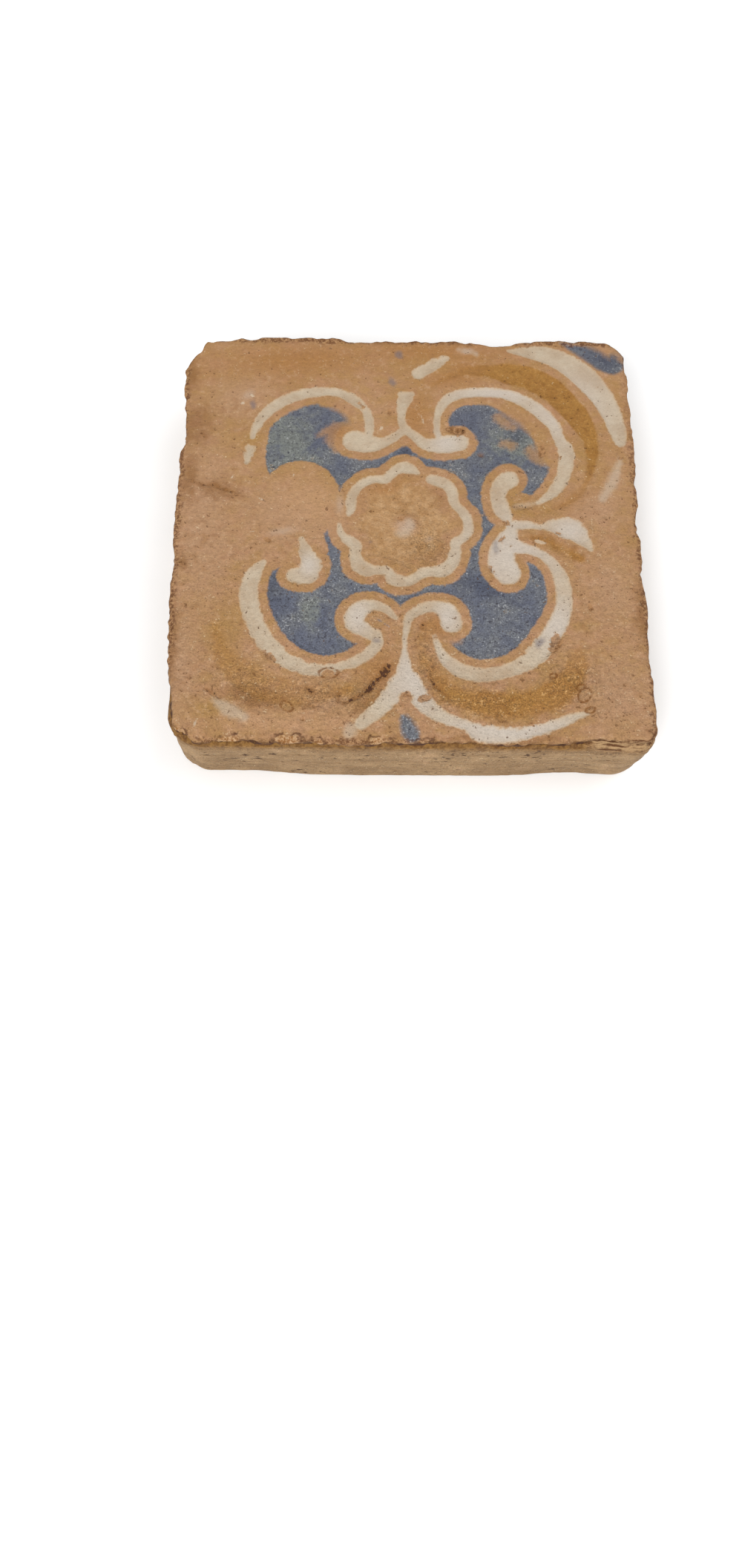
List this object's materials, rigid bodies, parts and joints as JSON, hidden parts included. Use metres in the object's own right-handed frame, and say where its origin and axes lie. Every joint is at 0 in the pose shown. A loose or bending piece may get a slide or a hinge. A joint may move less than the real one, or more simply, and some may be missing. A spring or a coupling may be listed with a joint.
{
  "type": "glazed ceramic tile",
  "caption": "Thick square fired-clay tile, worn, with a pressed scroll-and-rosette ornament in white, blue and amber glaze.",
  "frame": {"origin": "middle of the flat back, where the straight cut sides' square is centred", "axes": "+Z out of the glazed face, -Z out of the back; +Y towards the edge furthest from the camera in the picture, +X to its right"},
  "size_m": [0.142, 0.1417, 0.027],
  "materials": {
    "fired_clay": "matte"
  },
  "bodies": {
    "root": {"tile": "fired_clay"}
  },
  "joints": []
}
